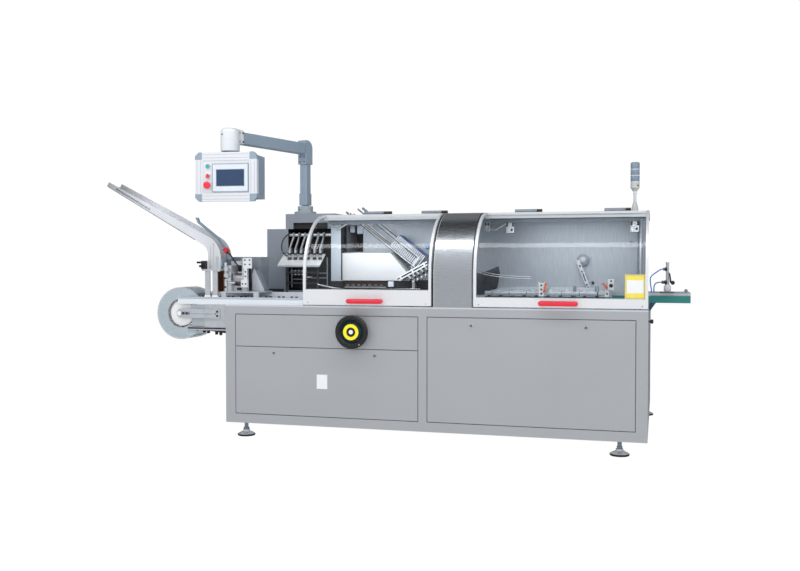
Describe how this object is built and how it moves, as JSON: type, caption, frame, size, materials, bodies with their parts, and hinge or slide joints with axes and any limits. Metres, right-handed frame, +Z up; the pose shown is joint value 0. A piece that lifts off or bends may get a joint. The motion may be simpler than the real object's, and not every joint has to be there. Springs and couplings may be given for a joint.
{
  "type": "automatic cartoner",
  "caption": "Automatic cartoner: a grey cabinet with curved clear lift-up guards, a lug-chain infeed with a curved product chute, an outfeed belt and an operator panel on a swing arm.",
  "frame": {"origin": "on the floor, below the middle of the machine's bounding box", "axes": "+X along the machine from infeed to outfeed, +Y from the operator's side to the back, +Z up"},
  "size_m": [3.22, 1.6434, 1.7],
  "materials": {
    "painted_grey": "satin",
    "stainless": "brushed",
    "aluminium": "satin",
    "zinc_steel": "satin",
    "dark_steel": "oiled",
    "black_plastic": "matt",
    "yellow_plastic": "gloss",
    "white_plastic": "matt",
    "white_paint": "satin",
    "slate_paint": "satin",
    "clear_sheet": "clear",
    "red_plastic": "gloss",
    "screen_frame": "matt",
    "card": "matt",
    "green_paint": "satin",
    "green_belt": "satin",
    "blue_tube": "gloss",
    "black_cable": "matt",
    "lamp_plastic": "gloss"
  },
  "bodies": {
    "machine": {"base_cabinet": "painted_grey", "front_panels": "painted_grey", "rear_panels": "painted_grey", "panel_locks": "zinc_steel", "levelling_feet": "zinc_steel", "table_top": "stainless", "handwheel_bearing": "zinc_steel", "infeed_frame": "zinc_steel", "infeed_rails": "stainless", "infeed_sprockets": "white_plastic", "infeed_chain": "dark_steel", "pusher_lugs": "black_plastic", "infeed_chain_guard": "clear_sheet", "product_chute": "aluminium", "chute_guide_bar": "slate_paint", "chute_stand": "aluminium", "feeder_drive": "zinc_steel", "feeder_cover": "painted_grey", "sensor_lead": "black_cable", "tower_housing": "painted_grey", "leaflet_frame": "dark_steel", "leaflet_tray": "white_plastic", "suction_arms": "zinc_steel", "arm_base": "slate_paint", "hinge_beam": "zinc_steel", "centre_hood": "stainless", "rear_housing": "painted_grey", "right_end_wall": "stainless", "bay_column": "painted_grey", "inner_cover": "white_paint", "magazine_rails": "zinc_steel", "carton_stack": "card", "carton_picker": "zinc_steel", "carton_conveyor": "dark_steel", "guide_clamps": "zinc_steel", "flap_crank": "zinc_steel", "safety_switches": "black_plastic", "outfeed_frame": "zinc_steel", "belt_skirts": "green_paint", "outfeed_belt": "green_belt", "stop_column": "zinc_steel", "air_tubes": "blue_tube", "signal_lamp": "lamp_plastic"},
    "handwheel": {"handwheel": "black_plastic", "handwheel_ring": "yellow_plastic"},
    "left_guard": {"left_guard_frame": "aluminium", "left_guard_window": "clear_sheet", "left_guard_handle": "red_plastic", "left_guard_knuckles": "black_plastic"},
    "right_guard": {"right_guard_frame": "aluminium", "right_guard_window": "clear_sheet", "right_guard_handle": "red_plastic", "right_guard_knuckles": "black_plastic"},
    "arm": {"arm_column": "slate_paint", "arm_beam": "slate_paint"},
    "panel": {"panel_box": "aluminium", "panel_rear": "slate_paint", "panel_corners": "slate_paint", "panel_screen": "screen_frame", "panel_buttons": "red_plastic"}
  },
  "joints": [
    {"name": "left_guard_lift", "type": "hinge", "parent": "machine", "child": "left_guard", "pos_m": [-0.034, -0.27733, 1.247], "axis": [-1, 0, 0], "range_deg": [0, 80]},
    {"name": "right_guard_lift", "type": "hinge", "parent": "machine", "child": "right_guard", "pos_m": [0.974, -0.27733, 1.247], "axis": [-1, 0, 0], "range_deg": [0, 80]},
    {"name": "arm_swing", "type": "hinge", "parent": "machine", "child": "arm", "pos_m": [-0.608, -0.08234, 1.305], "axis": [0, 0, -1], "range_deg": [-15, 20]},
    {"name": "panel_swivel", "type": "hinge", "parent": "arm", "child": "panel", "pos_m": [-0.79408, -0.71869, 1.585], "axis": [0, 0, -1], "range_deg": [-90, 90]},
    {"name": "handwheel_turn", "type": "hinge", "parent": "machine", "child": "handwheel", "pos_m": [-0.097, -0.72233, 0.602], "axis": [0, -1, 0], "continuous": true}
  ]
}
